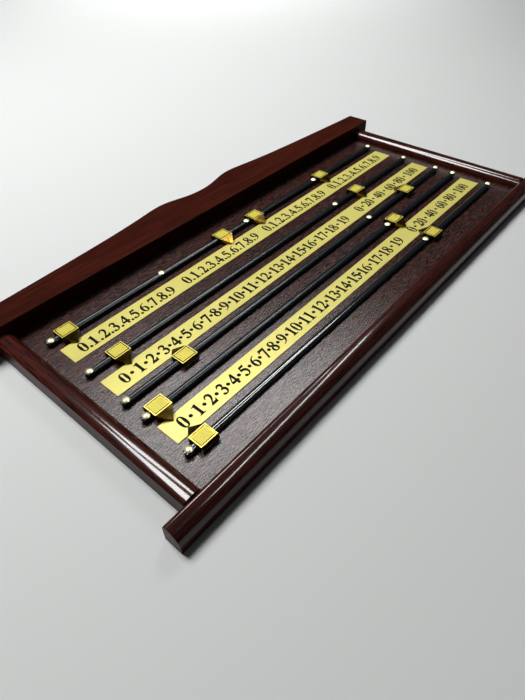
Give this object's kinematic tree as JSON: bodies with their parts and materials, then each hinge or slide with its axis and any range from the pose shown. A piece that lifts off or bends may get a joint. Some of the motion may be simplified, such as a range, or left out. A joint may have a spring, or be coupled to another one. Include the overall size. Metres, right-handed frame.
{
  "type": "wall scoreboard",
  "caption": "Framed wooden wall scoreboard with numbered brass plates and slide rails that carry sliding brass pointers for keeping frames and points in snooker or billiards.",
  "frame": {"origin": "centre of the outline on the back plane: the middle of the bounding box's bottom face when the board lies on its back", "axes": "+X along the board from the zeros towards the high numbers, +Y up when it hangs on a wall, +Z out of its face"},
  "size_m": [0.842, 0.414, 0.038],
  "materials": {
    "crest_wood": "satin mahogany stain and lacquer",
    "moulding_wood": "glossy dark mahogany stain and lacquer",
    "panel_wood": "open-grained dark stained wood with a thin lacquer",
    "plate_brass": "fine brushed, lacquered",
    "pointer_brass": "polished",
    "screw_brass": "polished",
    "rail_black": "black semi-gloss lacquer",
    "spacer_black": "matt black",
    "dowel_wood": "plain beech",
    "zinc_steel": "zinc plated"
  },
  "bodies": {
    "board": {"crest_board": "crest_wood", "bottom_rail": "moulding_wood", "left_side_moulding": "moulding_wood", "right_side_moulding": "moulding_wood", "back_panel": "panel_wood", "top_number_plate": "plate_brass", "middle_number_plate": "plate_brass", "bottom_number_plate": "plate_brass", "slide_rail_1": "rail_black", "rail_1_spacers": "spacer_black", "rail_1_screws": "screw_brass", "slide_rail_2": "rail_black", "rail_2_spacers": "spacer_black", "rail_2_screws": "screw_brass", "slide_rail_3": "rail_black", "rail_3_spacers": "spacer_black", "rail_3_screws": "screw_brass", "slide_rail_4": "rail_black", "rail_4_spacers": "spacer_black", "rail_4_screws": "screw_brass", "slide_rail_5": "rail_black", "rail_5_spacers": "spacer_black", "rail_5_screws": "screw_brass", "frame_dowels": "dowel_wood", "panel_screws": "zinc_steel", "left_hanger_plate": "zinc_steel", "right_hanger_plate": "zinc_steel", "hanger_screws": "zinc_steel"},
    "frames_pointer_1": {"frames_pointer_1": "pointer_brass"},
    "frames_pointer_2": {"frames_pointer_2": "pointer_brass"},
    "frames_pointer_3": {"frames_pointer_3": "pointer_brass"},
    "frames_pointer_4": {"frames_pointer_4": "pointer_brass"},
    "units_pointer_1": {"units_pointer_1": "pointer_brass"},
    "twenties_pointer_1": {"twenties_pointer_1": "pointer_brass"},
    "units_pointer_2": {"units_pointer_2": "pointer_brass"},
    "twenties_pointer_2": {"twenties_pointer_2": "pointer_brass"},
    "units_pointer_3": {"units_pointer_3": "pointer_brass"},
    "twenties_pointer_3": {"twenties_pointer_3": "pointer_brass"},
    "units_pointer_4": {"units_pointer_4": "pointer_brass"},
    "twenties_pointer_4": {"twenties_pointer_4": "pointer_brass"}
  },
  "joints": [
    {"name": "frames_pointer_1_slide", "type": "slide", "parent": "board", "child": "frames_pointer_1", "axis": [1, 0, 0], "range_m": [-0.0058, 0.1361]},
    {"name": "frames_pointer_2_slide", "type": "slide", "parent": "board", "child": "frames_pointer_2", "axis": [1, 0, 0], "range_m": [-0.1041, 0.0378]},
    {"name": "frames_pointer_3_slide", "type": "slide", "parent": "board", "child": "frames_pointer_3", "axis": [1, 0, 0], "range_m": [-0.0028, 0.1391]},
    {"name": "frames_pointer_4_slide", "type": "slide", "parent": "board", "child": "frames_pointer_4", "axis": [1, 0, 0], "range_m": [-0.0026, 0.1393]},
    {"name": "units_pointer_1_slide", "type": "slide", "parent": "board", "child": "units_pointer_1", "axis": [1, 0, 0], "range_m": [-0.0241, 0.4218]},
    {"name": "twenties_pointer_1_slide", "type": "slide", "parent": "board", "child": "twenties_pointer_1", "axis": [1, 0, 0], "range_m": [-0.0443, 0.1426]},
    {"name": "units_pointer_2_slide", "type": "slide", "parent": "board", "child": "units_pointer_2", "axis": [1, 0, 0], "range_m": [-0.0693, 0.3766]},
    {"name": "twenties_pointer_2_slide", "type": "slide", "parent": "board", "child": "twenties_pointer_2", "axis": [1, 0, 0], "range_m": [-0.0962, 0.0907]},
    {"name": "units_pointer_3_slide", "type": "slide", "parent": "board", "child": "units_pointer_3", "axis": [1, 0, 0], "range_m": [-0.0003, 0.4456]},
    {"name": "twenties_pointer_3_slide", "type": "slide", "parent": "board", "child": "twenties_pointer_3", "axis": [1, 0, 0], "range_m": [-0.0022, 0.1847]},
    {"name": "units_pointer_4_slide", "type": "slide", "parent": "board", "child": "units_pointer_4", "axis": [1, 0, 0], "range_m": [-0.0033, 0.4426]},
    {"name": "twenties_pointer_4_slide", "type": "slide", "parent": "board", "child": "twenties_pointer_4", "axis": [1, 0, 0], "range_m": [-0.0052, 0.1817]}
  ]
}
